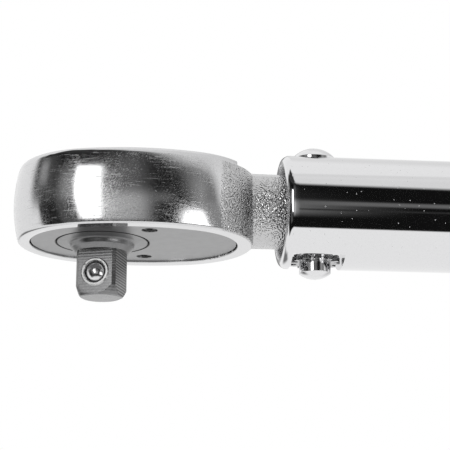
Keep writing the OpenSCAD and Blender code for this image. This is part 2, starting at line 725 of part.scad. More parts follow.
// Turned knob with straight flutes round its rim
module lock_knob() color("silver") {
    k0 = grip_end_x + knob_gap;
    k1 = k0 + knob_len;
    kr = knob_d / 2;
    difference() {
        along_x() rotate_extrude() polygon([
            [0, grip_end_x - stud_len], [stud_r, grip_end_x - stud_len], [stud_r, k0],
            [kr - 2.2, k0], [kr - 2.2, k0 + 1.4], [kr, k0 + 2.4], [kr, k1 - 1.2],
            [kr - 1.2, k1], [1.8, k1], [1.4, k1 - 0.5], [0, k1 - 0.5]]);
        along_x(k0 + 1.4 + eps) for (i = [0:knob_flutes - 1]) rotate(i * 360 / knob_flutes)
            translate([kr + flute_r - flute_depth, 0, 0]) cylinder(r = flute_r, h = knob_len);
    }
}

ratchet_head();
cover_plate();
cover_screws();
drive_gear();
drive_ball();
drive_ball_spring();
pawl();
pawl_pin();
reverse_lever();
lever_clip();
pawl_plunger();
pawl_plunger_spring();
tube();
pivot_pin();
pivot_screw();
lock_washer();
tilt_block();
push_plunger();
main_spring();
spring_seat();
thrust_ball();
adjusting_screw();
screw_nut();
nut_pins();
handle_sleeve();
guide_ring();
handle_set_screws();
lock_rod();
lock_ball_upper();
lock_ball_lower();
lock_knob();
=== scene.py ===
import math

import bmesh
import bpy
import numpy as np
from mathutils import Matrix, Vector


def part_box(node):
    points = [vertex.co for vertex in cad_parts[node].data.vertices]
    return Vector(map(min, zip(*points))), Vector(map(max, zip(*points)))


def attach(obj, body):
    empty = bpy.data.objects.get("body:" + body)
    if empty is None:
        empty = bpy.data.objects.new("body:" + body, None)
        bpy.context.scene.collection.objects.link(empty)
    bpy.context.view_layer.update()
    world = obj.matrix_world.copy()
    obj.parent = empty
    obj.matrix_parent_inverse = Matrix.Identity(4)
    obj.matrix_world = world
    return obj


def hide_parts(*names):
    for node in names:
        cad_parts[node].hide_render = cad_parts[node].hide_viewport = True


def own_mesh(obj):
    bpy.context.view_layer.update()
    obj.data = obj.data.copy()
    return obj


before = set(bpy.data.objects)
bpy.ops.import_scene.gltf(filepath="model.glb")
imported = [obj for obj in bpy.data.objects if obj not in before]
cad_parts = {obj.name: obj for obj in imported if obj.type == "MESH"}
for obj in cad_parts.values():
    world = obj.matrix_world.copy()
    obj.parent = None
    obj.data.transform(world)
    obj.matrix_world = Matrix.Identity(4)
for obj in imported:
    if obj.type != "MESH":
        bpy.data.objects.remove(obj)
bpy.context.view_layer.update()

# ---------------------------------------- camera
# A long lens looks up at the head from just below it and from a little to its left.
# The view is rolled by a hair, as a camera on a stand often is.
mm = 0.001
view_azimuth, view_elevation, view_roll = np.radians([-5.787, -14.823, 0.156])
view_target = Vector((18.934, 0.0, 5.083)) * mm
view_distance = 233.52 * mm

back = Vector((math.sin(view_azimuth) * math.cos(view_elevation),
               -math.cos(view_azimuth) * math.cos(view_elevation),
               math.sin(view_elevation)))
level = Vector((math.cos(view_azimuth), math.sin(view_azimuth), 0))
upright = back.cross(level)
right = level * math.cos(view_roll) + upright * math.sin(view_roll)
up = upright * math.cos(view_roll) - level * math.sin(view_roll)


def add_object(name, data):
    """A new object in the scene."""
    made = bpy.data.objects.new(name, data)
    bpy.context.scene.collection.objects.link(made)
    return made


lens = bpy.data.cameras.new("bench_camera")
lens.lens, lens.sensor_width = 120.08, 36
lens.clip_start, lens.clip_end = 0.01, 20
camera = add_object("bench_camera", lens)
place = Matrix((right, up, back)).transposed().to_4x4()
place.translation = view_target + back * view_distance
camera.matrix_world = place
bpy.context.scene.camera = camera
bpy.context.scene.view_settings.view_transform = "Standard"

# ---------------------------------------- studio
# A white tent lights the wrench evenly. Polished steel also sees the dark side of the room
# where the camera stands, with a strip lamp and a low lamp in it.
tent_light, tent_seen, tent_reflected = 0.9, 1.0, 0.98      # brightness for each kind of ray
# azimuth from and to, elevation from and to, lean (azimuth for each degree of elevation),
# softness (all in degrees), brightness
room_panels = [
    (-89.5, 61, -44, 47, -0.28, 1.5, 0.006),    # dark room behind the camera
    (36, 66, -40, 44, -0.30, 9.0, 0.22),        # its edge, fading into the tent
    (-60, 60, 47, 54, 0.0, 1.5, 0.13),          # grey edge of the tent's opening
    (-93, -8, 44, 68, 0.0, 4.0, 0.04),          # dark ceiling over the left of it
    (110, 400, 30, 64, -2.19, 10.0, 0.84),      # the tent comes down lower on the right
    (-40, 60, 62, 69, 0.0, 2.0, 0.84),          # seam of the tent
    (-100, -60, 8, 40, -0.30, 7.0, 0.06),       # dark wall on the left
    (-88, -74, 19, 33, -0.30, 4.0, 0.36),       # far lamp
    (-58, -36, 0, 27, -0.10, 9.0, 0.28),        # grey reflector left of the strip lamp
    (-18, 4, 8, 40, 0.0, 8.0, 0.11),            # wall above the table
    (-19, 6, -18, 9, 0.0, 7.5, 0.50),           # the camera's own table
    (8, 20, 1.5, 9, 0.0, 2.5, 0.15),            # pale strip of the far wall
    (8, 20, -9, -6, 0.0, 1.5, 0.03),            # shelf under it
    (32, 43, -4, 22, 0.0, 6.0, 0.34),           # lit wall above the low lamp
    (-37.5, -20.5, -12, 31, -0.03, 1.5, 3.2),   # strip lamp
    (-60, -34.5, -30, 5, -0.28, 2.5, 0.08),     # shade that cuts its lower corner
    (27, 60, -22, -3, 0.0, 3.0, 3.0),           # low lamp
    (39, 80, -30, 6, -1.0, 3.0, 0.30),          # shade that cuts it slantwise
    (116, 150, -38, 46, 0.0, 12.0, 0.66),       # grey flag behind, on the right
    (-160, -128, -50, -12, 0.0, 9.0, 0.20),     # dark flag behind, on the left
    (171, 190, 4, 30, 0.0, 3.0, 0.26),          # doorway straight behind, one half
    (-190, -171, 4, 30, 0.0, 3.0, 0.26),        # and the other
]


def add_node(tree, kind, inputs=(), **settings):
    """One shader node: its settings by name, its inputs by name or number, as values or links."""
    made = tree.nodes.new(kind)
    for key, value in settings.items():
        setattr(made, key, value)
    for key, value in dict(inputs).items():
        if isinstance(value, bpy.types.NodeSocket):
            tree.links.new(value, made.inputs[key])
        else:
            made.inputs[key].default_value = value
    return made


def math_node(tree, operation, *values):
    """A Math node's result, for one, two or three values or links."""
    return add_node(tree, "ShaderNodeMath", dict(enumerate(values)), operation=operation).outputs[0]


def times(tree, a, b):
    """a * b"""
    return math_node(tree, "MULTIPLY", a, b)


def times_plus(tree, a, b, c):
    """a * b + c"""
    return math_node(tree, "MULTIPLY_ADD", a, b, c)


def below(tree, a, b):
    """1 where a < b, 0 elsewhere"""
    return math_node(tree, "LESS_THAN", a, b)


def parts_of(tree, vector):
    """The x, y and z of a vector."""
    return add_node(tree, "ShaderNodeSeparateXYZ", {0: vector}).outputs


def soft_window(tree, value, low, high, edge):
    """1 between low and high, 0 outside, with a smooth edge on both sides."""
    ramps = ((low - edge, low + edge), (high + edge, high - edge))
    steps = [add_node(tree, "ShaderNodeMapRange", {"Value": value, "From Min": a, "From Max": b},
                      interpolation_type="SMOOTHSTEP").outputs[0] for a, b in ramps]
    return times(tree, *steps)


world = bpy.data.worlds.new("studio")
bpy.context.scene.world = world
world.use_nodes = True
sky = world.node_tree
sky.nodes.clear()
compass = parts_of(sky, add_node(sky, "ShaderNodeTexCoord").outputs["Generated"])
away = times(sky, compass[1], -1.0)
azimuth = math_node(sky, "DEGREES", math_node(sky, "ARCTAN2", compass[0], away))
elevation = math_node(sky, "DEGREES", math_node(sky, "ARCSINE", compass[2]))
reflected = tent_reflected
for left_side, right_side, low, high, lean, edge, brightness in room_panels:
    leaning = times_plus(sky, elevation, -lean, azimuth)
    inside = times(sky, soft_window(sky, leaning, left_side, right_side, edge),
                   soft_window(sky, elevation, low, high, edge))
    reflected = add_node(sky, "ShaderNodeMix", {0: inside, 2: reflected, 3: brightness}).outputs[0]
seen_by = add_node(sky, "ShaderNodeLightPath").outputs
strength = add_node(sky, "ShaderNodeMix",
                    {0: seen_by["Is Glossy Ray"], 2: tent_light, 3: reflected}).outputs[0]
strength = add_node(sky, "ShaderNodeMix",
                    {0: seen_by["Is Camera Ray"], 2: strength, 3: tent_seen}).outputs[0]
tent = add_node(sky, "ShaderNodeBackground", {"Color": (1, 1, 1, 1), "Strength": strength})
sky.links.new(tent.outputs[0], add_node(sky, "ShaderNodeOutputWorld").inputs[0])

# ---------------------------------------- floor
# Pale sheet that the wrench rests on with the tip of its square, under a soft lamp.
# It is seen from above only, so that the wrench can also be looked at from below.
floor_size, floor_drop = 4.0, 7.3 * mm
floor_mesh = bpy.data.meshes.new("floor")
half = floor_size / 2
floor_mesh.from_pydata([(-half, -half, -floor_drop), (half, -half, -floor_drop),
                        (half, half, -floor_drop), (-half, half, -floor_drop)], [], [(0, 1, 2, 3)])
floor = add_object("floor", floor_mesh)
floor.visible_glossy = floor.visible_diffuse = False
floor.visible_shadow = floor.visible_transmission = False
sheet = bpy.data.materials.new("pale_sheet")
sheet.use_nodes = True
tree = sheet.node_tree
tree.nodes.clear()
matt = add_node(tree, "ShaderNodeBsdfDiffuse", {"Color": (0.97, 0.97, 0.97, 1)})
clear = add_node(tree, "ShaderNodeBsdfTransparent")
side = add_node(tree, "ShaderNodeNewGeometry")
one_sided = add_node(tree, "ShaderNodeMixShader",
                     {0: side.outputs["Backfacing"], 1: matt.outputs[0], 2: clear.outputs[0]})
tree.links.new(one_sided.outputs[0], add_node(tree, "ShaderNodeOutputMaterial").inputs[0])
floor_mesh.materials.append(sheet)

lamp = bpy.data.lights.new("overhead_softbox", "AREA")
lamp.shape, lamp.size, lamp.energy = "DISK", 1.2, 3.0
softbox = add_object("overhead_softbox", lamp)
softbox.location = (0.15, 0.1, 1.5)
softbox.visible_glossy = False

# ---------------------------------------- ratchet head
# Steel forging: an oval head with a crowned side wall, and a round shank that carries it in the
# tube. Ground, polished and chrome plated; behind the head the forged skin shows in the chrome.
axis_z = 7.4
head_low, head_high = 1.4, 13.0
front_r, rear_r, rear_x, side_r = 12.9, 13.0, 10.1, 31.0
wall_crown, rim_round, soft_edge = 0.798, 0.35, 0.8
rim_w, side_extra, cover_depth, pocket_gap = 1.9, 1.0, 1.8, 0.12
pocket_mouth = [(pocket_gap, 0.12), (0.18, 0.03), (0.26, 0.0)]  # its broken edge: outward, up
cavity_front_r, cavity_rear_r, cavity_rear_x, cavity_side_r = 8.5, 5.5, 13.3, 70.0
cavity_high, bore_low, blind_high = 10.0, 9.5, 12.0
lever_x, pawl_x, pivot_x = 15.6, 11.2, 33.0
lever_bore_r, journal_bore_r, pin_bore_r, pivot_bore_r = 2.15, 4.55, 0.92, 2.55
shank_x, shank_start_r, pocket_end_x = 19.4, 6.6, 21.8
shank_r, flare_r, flare_x = 5.83, 3.2, 23.6
pivot_land, tail_taper = 5, 3
tail_r, tail_end, tail_chamfer = 5.15, 74.0, 0.8
ledge_x, ledge_depth, ledge_end_x, ledge_half_w = 19.9, 0.85, 30, 20
out_high, pivot_low, pivot_high = 16, 0, 15     # where drills run out past the faces they cut
on_axis = 0.001                         # radius of a profile's ends, all but on the axis
head_sharp = 22                         # degrees between faces from which an edge stays sharp


def oval(front, rear, distance, side, front_x=0.0, per_arc=44):
    """Outline of an egg: a front and a rear arc joined by two long arcs that touch both.
    Gives points and outward directions, counter-clockwise."""
    gap_front, gap_rear = side - front, side - rear
    across = (distance ** 2 + gap_front ** 2 - gap_rear ** 2) / (2 * distance)
    below = -math.sqrt(gap_front ** 2 - across ** 2)
    rear_angle, front_angle = math.atan2(-below, distance - across), math.atan2(-below, -across)
    points, outward = [], []
    for cx, cy, r, a, b, n in (
            (distance, 0, rear, -rear_angle, rear_angle, 2 * per_arc),
            (across, below, side, rear_angle, front_angle, per_arc),
            (0, 0, front, front_angle, 2 * math.pi - front_angle, 2 * per_arc),
            (across, -below, side, 2 * math.pi - front_angle, 2 * math.pi - rear_angle, per_arc)):
        t = np.linspace(a, b, n, endpoint=False)
        ring = np.stack([np.cos(t), np.sin(t)], 1)
        outward.append(ring)
        points.append(ring * r + (cx + front_x, cy))
    return np.concatenate(points), np.concatenate(outward)


def at_height(ring, z):
    """A flat ring of points, all lifted to one height."""
    return np.column_stack([ring, np.full(len(ring), z)])


def round_axis(x, r, t, axis_height=axis_z):
    """Points at x along the wrench, r out from its axis and t round it: (x, r*cos t, r*sin t)."""
    x, r, t = np.broadcast_arrays(x, r, t)
    return np.stack([x, r * np.cos(t), r * np.sin(t) + axis_height], -1)


def full_turn(steps):
    """Angles of evenly spaced steps round a circle."""
    return np.linspace(0, 2 * math.pi, steps, endpoint=False)


def grid_mesh(name, grid, wrap_rows=False):
    """Mesh in metres over a grid of millimetre points [row, column, xyz]. Columns close on
    themselves; rows close too with wrap_rows, and are capped at both ends if not."""
    rows, columns = grid.shape[:2]
    r = np.arange(rows if wrap_rows else rows - 1)[:, None]
    c = np.arange(columns)[None, :]
    r1, c1 = (r + 1) % rows, (c + 1) % columns
    quads = np.stack(np.broadcast_arrays(r * columns + c, r * columns + c1,
                                         r1 * columns + c1, r1 * columns + c), -1).reshape(-1, 4)
    faces = quads.tolist()
    if not wrap_rows:
        faces.append(list(range(columns))[::-1])
        faces.append(list(range((rows - 1) * columns, rows * columns)))
    mesh = bpy.data.meshes.new(name)
    mesh.from_pydata((grid.reshape(-1, 3) * mm).tolist(), [], faces)
    return mesh


def tidy_mesh(mesh, sharp=35):
    """Merges doubles, turns every face outward and shades smooth up to an angle."""
    work = bmesh.new()
    work.from_mesh(mesh)
    bmesh.ops.remove_doubles(work, verts=work.verts, dist=2e-7)
    bmesh.ops.recalc_face_normals(work, faces=work.faces)
    work.to_mesh(mesh)
    work.free()
    mesh.shade_smooth()
    mesh.set_sharp_from_angle(angle=math.radians(sharp))
    return mesh


def revolved(name, profile, columns=128, axis_height=axis_z, wrap=False):
    """Turned part: a profile of (x, radius) swept round an axis along X at a height."""
    profile = np.array(profile, float)
    grid = round_axis(profile[:, :1], profile[:, 1:], full_turn(columns), axis_height)
    return tidy_mesh(grid_mesh(name, grid, wrap))


def peg(name, x, y, low, high, r, columns=64):
    """Plain cylinder along Z, used as a drill."""
    t = full_turn(columns)
    ring = np.stack([x + r * np.cos(t), y + r * np.sin(t)], 1)
    return tidy_mesh(grid_mesh(name, np.stack([at_height(ring, z) for z in (low, high)])))


def block(name, low, high):
    """Plain box between two corners, used as a cutter."""
    (x0, y0, z0), (x1, y1, z1) = low, high
    ring = np.array([(x0, y0), (x1, y0), (x1, y1), (x0, y1)])
    return tidy_mesh(grid_mesh(name, np.stack([at_height(ring, z) for z in (z0, z1)])))


def carve(mesh, steps, sharp=35):
    """Joins meshes to a mesh or cuts them out of it, in order, and gives the finished mesh."""
    body = add_object("work", mesh)
    tools = []
    for operation, tool_mesh in steps:
        tools.append(add_object("tool", tool_mesh))
        cut = body.modifiers.new("cut", "BOOLEAN")
        cut.operation, cut.object, cut.solver = operation, tools[-1], "EXACT"
    bpy.context.view_layer.update()
    graph = bpy.context.evaluated_depsgraph_get()
    made = bpy.data.meshes.new_from_object(body.evaluated_get(graph))
    for thing in tools + [body]:
        bpy.data.objects.remove(thing)
    made.materials.clear()
    return tidy_mesh(made, sharp)


def set_piece(name, mesh, material, body, stands_for=()):
    """Puts a finished mesh in the scene on its body, with its finish."""
    piece = add_object(name, mesh)
    mesh.name = name
    mesh.materials.clear()
    mesh.materials.append(material)
    true_up = piece.modifiers.new("flat_faces", "WEIGHTED_NORMAL")
    true_up.keep_sharp = True
    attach(piece, body)
    if stands_for:
        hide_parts(*stands_for)
    return piece


def new_group(name, inputs, outputs, vectors=()):
    """Empty node group with vector and number inputs and number outputs. Gives the group,
    what it is given and what it results in."""
    group = bpy.data.node_groups.new(name, "ShaderNodeTree")
    for key in vectors:
        group.interface.new_socket(key, in_out="INPUT", socket_type="NodeSocketVector")
    for key, value in inputs.items():
        group.interface.new_socket(
            key, in_out="INPUT", socket_type="NodeSocketFloat").default_value = value
    for key in outputs:
        group.interface.new_socket(key, in_out="OUTPUT", socket_type="NodeSocketFloat")
    given, result = add_node(group, "NodeGroupInput"), add_node(group, "NodeGroupOutput")
    return group, given.outputs, result.inputs


def object_place(tree):
    """The place on a piece, in metres, as a vector."""
    return add_node(tree, "ShaderNodeTexCoord").outputs["Object"]


def noise(tree, where, scale, detail):
    """Smooth noise from 0 to 1 over a place."""
    return add_node(tree, "ShaderNodeTexNoise",
                    {"Vector": where, "Scale": scale, "Detail": detail}).outputs[0]


def skin_group():
    """Surface of polished metal as a node group: roughness that wanders and rises in small
    specks, a height for the ripple that polishing leaves, and a mottle of fine grain."""
    group, given, result = new_group(
        "metal_skin", {"Roughness": 0.1, "Spread": 0.05, "Ripple Scale": 700.0,
                       "Grain Scale": 4000.0, "Speck Scale": 900.0, "Speck Size": 0.05},
        ("Roughness", "Height", "Mottle"))
    clean_share, speck_rough, grain_height = 0.55, 0.5, 0.35
    where = object_place(group)
    ripple = noise(group, where, given["Ripple Scale"], 2.0)
    grain = noise(group, where, given["Grain Scale"], 3.0)
    cells = add_node(group, "ShaderNodeTexVoronoi",
                     {"Vector": where, "Scale": given["Speck Scale"]}).outputs
    chance = add_node(group, "ShaderNodeSeparateColor", {0: cells["Color"]}).outputs[0]
    specks = times(group, below(group, clean_share, chance),
                   below(group, cells["Distance"], given["Speck Size"]))
    wander = times_plus(group, math_node(group, "SUBTRACT", ripple, 0.5),
                        given["Spread"], given["Roughness"])
    group.links.new(times_plus(group, specks, speck_rough, wander), result["Roughness"])
    group.links.new(times_plus(group, grain, grain_height, ripple), result["Height"])
    group.links.new(grain, result["Mottle"])
    return group


metal_skin = skin_group()


def metal(name, dark, bright, skin, ripple_mm=0.0005):
    """Metal between a dark and a bright tone, mottled by the skin group's grain, with a bump
    whose height is in millimetres. Gives the material, its tree, the shader's inputs, and the
    roughness and height so far, for a section to add to."""
    cool = 1.01                         # faint blue of bare steel and chrome
    made = bpy.data.materials.new(name)
    made.use_nodes = True
    tree = made.node_tree
    finish = tree.nodes["Principled BSDF"].inputs
    finish["Metallic"].default_value = 1.0
    surface = add_node(tree, "ShaderNodeGroup", skin, node_tree=metal_skin).outputs
    tone = add_node(tree, "ShaderNodeMix", {
        0: surface["Mottle"], 6: (dark, dark, dark * cool, 1),
        7: (bright, bright, bright * cool, 1)}, data_type="RGBA")
    height = times(tree, surface["Height"], ripple_mm)
    bump = add_node(tree, "ShaderNodeBump", {"Height": height, "Distance": mm, "Strength": 1.0})
    bump.name = "bump"
    tree.links.new(tone.outputs[2], finish["Base Color"])
    tree.links.new(surface["Roughness"], finish["Roughness"])
    tree.links.new(bump.outputs[0], finish["Normal"])
    return made, tree, finish, surface["Roughness"], height


def tint(tree, share, grey):
    """Moves the base colour towards a grey by a share from 0 to 1."""
    colour = tree.nodes["Principled BSDF"].inputs["Base Color"]
    mixed = add_node(tree, "ShaderNodeMix", {0: share, 6: colour.links[0].from_socket,
                                             7: (grey, grey, grey, 1)}, data_type="RGBA")
    tree.links.new(mixed.outputs[2], colour)


def reach_of(tree, x, y):
    """Distance from the Z axis: sqrt(x*x + y*y)."""
    return math_node(tree, "SQRT", math_node(tree, "ADD", times(tree, x, x), times(tree, y, y)))


def scratch_group():
    """Fine scratches as a node group: noise drawn out along one direction of a flat pattern.
    Lines are its crests alone, cut off sharply; Height is the whole of it."""
    group, given, result = new_group(
        "fine_scratches", {"Angle": 0.0, "Along Scale": 400.0, "Across Scale": 9000.0,
                           "Low": 0.5, "High": 0.62}, ("Lines", "Height"), ("Pattern",))
    depth_scale = 600.0
    turned = add_node(group, "ShaderNodeVectorRotate", {
        "Vector": given["Pattern"], "Angle": given["Angle"]}, rotation_type="Z_AXIS").outputs[0]
    stretch = add_node(group, "ShaderNodeCombineXYZ", {
        0: given["Along Scale"], 1: given["Across Scale"], 2: depth_scale}).outputs[0]
    drawn_out = add_node(group, "ShaderNodeVectorMath", {0: turned, 1: stretch},
                         operation="MULTIPLY").outputs[0]
    streaks = noise(group, drawn_out, 1.0, 3.0)
    lines = add_node(group, "ShaderNodeMapRange", {
        "Value": streaks, "From Min": given["Low"], "From Max": given["High"]}).outputs[0]
    group.links.new(lines, result["Lines"])
    group.links.new(streaks, result["Height"])
    return group


fine_scratches = scratch_group()

head_chrome, tree, finish, rough, height = metal("head_chrome", 0.63, 0.73, {
    "Roughness": 0.055, "Spread": 0.05, "Ripple Scale": 420.0, "Grain Scale": 3600.0})
unroll_x, unroll_r, flat_margin = 5, 13, 0.04       # mm, of the patterns on the head
forged_from, forged_to = 16.9, 17.9                 # mm, where the forged skin begins
line_depth, swirl_height, pebble_height = 0.0030, 0.0004, 0.16      # mm
mark_rough, forged_rough, forged_share, forged_grey = 0.36, 0.02, 0.6, 0.50
flat_loss = 0.85                                    # share of the marks that flat faces lack
where = object_place(tree)
x, y, z = parts_of(tree, where)
# flat pattern: way round the head, and height up its wall or reach across its flat faces
unrolled = math_node(tree, "ARCTAN2", y, math_node(tree, "SUBTRACT", unroll_x * mm, x))
on_flat = math_node(tree, "ADD", below(tree, z, (head_low + flat_margin) * mm),
                    below(tree, (head_high - ledge_depth - flat_margin) * mm, z))
wall_pattern = add_node(tree, "ShaderNodeCombineXYZ", {
    0: times(tree, unrolled, unroll_r * mm),
    1: times_plus(tree, on_flat, reach_of(tree, x, y), z)}).outputs[0]
level_marks = add_node(tree, "ShaderNodeGroup", {
    "Pattern": wall_pattern, "Along Scale": 380.0, "Across Scale": 5200.0,
    "Low": 0.60, "High": 0.72}, node_tree=fine_scratches).outputs
swirl_marks = add_node(tree, "ShaderNodeGroup", {
    "Pattern": wall_pattern, "Angle": 0.85, "Along Scale": 2400.0, "Across Scale": 11000.0,
    "Low": 0.34, "High": 0.72}, node_tree=fine_scratches).outputs
worn = add_node(tree, "ShaderNodeMapRange", {
    "Value": noise(tree, where, 210.0, 4.0), "From Min": 0.35, "From Max": 0.65,
    "To Min": 0.55, "To Max": 1.0}).outputs[0]
marks = times(tree, math_node(tree, "ADD", level_marks["Lines"], swirl_marks["Lines"]), worn)
forged = add_node(tree, "ShaderNodeMapRange", {
    "Value": x, "From Min": forged_from * mm, "From Max": forged_to * mm},
    interpolation_type="SMOOTHSTEP").outputs[0]
on_side = times_plus(tree, on_flat, -flat_loss, 1.0)
polished = times(tree, math_node(tree, "SUBTRACT", 1.0, forged), on_side)
forged = times(tree, forged, on_side)
drawn = times_plus(tree, level_marks["Lines"], -line_depth,
                   times(tree, swirl_marks["Height"], swirl_height))
pebbles = times(tree, math_node(tree, "SUBTRACT", noise(tree, where, 4400.0, 0.0), 0.5), forged)
height = times_plus(tree, drawn, polished, height)
height = times_plus(tree, pebbles, pebble_height, height)
tree.links.new(height, tree.nodes["bump"].inputs["Height"])
tint(tree, times(tree, forged, forged_share), forged_grey)
rough = times_plus(tree, times(tree, marks, polished), mark_rough, rough)
tree.links.new(times_plus(tree, forged, forged_rough, rough), finish["Roughness"])

# the side wall from its lower edge to its upper one, which is buffed rounder than the lower
wall, wall_rows = head_high - head_low, 30
turn = np.linspace(0, math.pi / 2, 9)
levels = np.concatenate([rim_round * (1 - np.cos(turn)),
                         np.linspace(rim_round, wall - soft_edge, wall_rows + 2)[1:-1],
                         wall - soft_edge * (1 - np.cos(turn[::-1]))])
spread = np.concatenate([rim_round * (np.sin(turn) - 1), np.zeros(wall_rows),
                         rim_round * (np.sin(turn[::-1]) - 1)])
spread = spread + wall_crown * (1 - (2 * levels / wall - 1) ** 2)
rim, rim_out = oval(front_r, rear_r, rear_x, side_r)
rings = [at_height(rim + rim_out * d, head_low + z) for z, d in zip(levels, spread)]
# the pocket for the plate, and the hollow for the ratchet works above it
pocket, pocket_out = oval(front_r - rim_w - side_extra / 2, rear_r - rim_w - side_extra / 2,
                          rear_x + side_extra / 2, side_r - rim_w - side_extra, -side_extra / 2)
cavity, _ = oval(cavity_front_r, cavity_rear_r, cavity_rear_x, cavity_side_r)
inner = [at_height(cavity, z) for z in (cavity_high, head_low + cover_depth)]
inner += [at_height(pocket + pocket_out * d, head_low + z)
          for d, z in [(pocket_gap, cover_depth)] + pocket_mouth]
head = tidy_mesh(grid_mesh("head", np.array(inner + rings)))

# the shank with its flare, which is cut off level with the head's faces and clear of the pocket
sweep = np.radians(np.linspace(70, 0, 14))
bar = np.array([(shank_x, on_axis), (shank_x, shank_start_r)] + [
    (flare_x - flare_r * math.sin(a), shank_r + flare_r * (1 - math.cos(a))) for a in sweep] + [
    (pivot_x - pivot_land, shank_r), (pivot_x, shank_r), (pivot_x + pivot_land, shank_r),
    (pivot_x + pivot_land + tail_taper, tail_r), (tail_end - tail_chamfer, tail_r),
    (tail_end, tail_r - tail_chamfer), (tail_end, on_axis)])
shank = round_axis(bar[:, :1], bar[:, 1:], full_turn(144))
flared = shank[..., 0] < flare_x - 1e-6
inset, clear = 0.02, 0.1
bottom = head_low + np.where(shank[..., 0] < pocket_end_x, cover_depth + clear, inset)
trimmed = np.clip(shank[..., 2], bottom, head_high - inset)
shank[..., 2] = np.where(flared, trimmed, shank[..., 2])
head = carve(head, [
    ("DIFFERENCE", block("ledge", (ledge_x, -ledge_half_w, head_high - ledge_depth),
                         (ledge_end_x, ledge_half_w, out_high))),
    ("UNION", tidy_mesh(grid_mesh("shank", shank))),
    ("DIFFERENCE", peg("lever_bore", lever_x, 0, bore_low, out_high, lever_bore_r)),
    ("DIFFERENCE", peg("journal_bore", 0, 0, bore_low, blind_high, journal_bore_r)),
    ("DIFFERENCE", peg("pawl_pin_bore", pawl_x, 0, bore_low, blind_high, pin_bore_r)),
    ("DIFFERENCE", peg("pivot_bore", pivot_x, 0, pivot_low, pivot_high, pivot_bore_r)),
], head_sharp)
set_piece("ratchet_head_forging", head, head_chrome, "head", ["ratchet_head"])

# ---------------------------------------- cover plate and its screws
# Flat steel plate, blanked and tumbled to a satin finish. Two socket screws hold it in the head.
# Painted shade darkens the plate in a thin ring along the gap round the boss.
boss_hole_r, gap_shade_w, gap_shade_grey = 7.15, 0.17, 0.015
plate_satin, tree, *_ = metal("plate_satin", 0.25, 0.30, {
    "Roughness": 0.33, "Spread": 0.10, "Grain Scale": 5200.0, "Ripple Scale": 900.0}, 0.001)
x, y, z = parts_of(tree, object_place(tree))
# painted shade: a thin near-black ring on the plate at the edge of the boss's hole
tint(tree, below(tree, reach_of(tree, x, y), (boss_hole_r + gap_shade_w) * mm), gap_shade_grey)
black_oxide, *_ = metal("black_oxide", 0.05, 0.12, {
    "Roughness": 0.42, "Spread": 0.15, "Grain Scale": 4200.0}, 0.003)


def dressed_copy(name, node, material, body, bevel_mm=0.0, sharp=32):
    """A CAD node's solid as one clean mesh, with flat faces joined up and its edges broken."""
    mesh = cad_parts[node].data.copy()
    work = bmesh.new()
    work.from_mesh(mesh)
    bmesh.ops.remove_doubles(work, verts=work.verts, dist=1e-6)
    bmesh.ops.dissolve_limit(work, angle_limit=math.radians(0.5), verts=work.verts,
                             edges=work.edges)
    work.to_mesh(mesh)
    work.free()
    mesh.shade_smooth()
    mesh.set_sharp_from_angle(angle=math.radians(sharp))
    piece = set_piece(name, mesh, material, body, [node])
    if bevel_mm:
        edge = piece.modifiers.new("broken_edges", "BEVEL")
        edge.width, edge.segments, edge.limit_method = bevel_mm * mm, 2, "ANGLE"
        edge.angle_limit = math.radians(sharp)
        edge.harden_normals = False
        piece.modifiers.move(1, 0)
    return piece


dressed_copy("cover_plate_blank", "cover_plate", plate_satin, "head", 0.10)
dressed_copy("cover_plate_screws", "cover_screws", black_oxide, "head")

# ---------------------------------------- square drive
# Alloy steel bar, milled square, hardened and left grey, turned with its boss and collar in one
# piece. The staked ring round the ball hole is brighter, because the punch burnished it.
square_half, corner_cut, square_turn = 3.15, 0.48, 20
feed_pitch, feed_deep, feed_shallow, feed_wobble = 0.44, 0.022, 0.0030, 0.9
lathe_pitch, lathe_depth, lathe_rough = 0.26, 0.0030, 0.10
# the last radius here is where painted shade begins on the collar, by the gap under the plate
ball_down, ring_r, gap_shade_r = 3.55, 2.25, 6.88
face_margin, ring_margin = 0.02, 0.015
# painted shade in the troughs of the feed marks: the second grey here and the shares on the next
# line
corner_grey, feed_mark_shade_grey, ring_grey = 0.19, 0.05, 0.50
feed_mark_shade_share, flank_share = 0.10, 0.75  # darkness of the feed marks, and more on the flanks
bar_skin = {"Roughness": 0.24, "Spread": 0.14, "Grain Scale": 5000.0, "Ripple Scale": 1200.0}
tool_steel, *_ = metal("tool_steel", 0.19, 0.33, bar_skin, 0.002)
drive_steel, tree, finish, rough, height = metal("drive_steel", 0.17, 0.30, bar_skin, 0.002)
where = object_place(tree)
u, v, z = parts_of(tree, add_node(tree, "ShaderNodeVectorRotate", {
    "Vector": where, "Angle": math.radians(square_turn)}, rotation_type="Z_AXIS").outputs[0])


def length_of(tree, parts):
    """Length of a vector that is given by its parts."""
    vector = add_node(tree, "ShaderNodeCombineXYZ", parts).outputs[0]
    return add_node(tree, "ShaderNodeVectorMath", {0: vector}, operation="LENGTH").outputs["Value"]


# marks of the milling cutter: a wave down the square, deep on two of its sides
feed = times(tree, z, 2 * math.pi / (feed_pitch * mm))
wave = math_node(tree, "SINE", times_plus(
    tree, noise(tree, where, 900.0, 3.0), feed_wobble, feed))
on_bar = below(tree, z, 0.0)
off_bar = math_node(tree, "SUBTRACT", 1.0, on_bar)
across_u, across_v = (math_node(tree, "ABSOLUTE", part) for part in (u, v))
flank = below(tree, (square_half - face_margin) * mm, across_u)
depth = times(tree, on_bar, times_plus(tree, flank, feed_deep, feed_shallow))
height = times_plus(tree, wave, depth, height)
# rings of the lathe tool on the boss and the collar
reach = reach_of(tree, u, v)
lathe_wave = math_node(tree, "SINE", times(tree, reach, 2 * math.pi / (lathe_pitch * mm)))
height = times_plus(tree, lathe_wave, times(tree, off_bar, lathe_depth), height)
tree.links.new(height, tree.nodes["bump"].inputs["Height"])
tree.links.new(times_plus(tree, off_bar, lathe_rough, rough), finish["Roughness"])
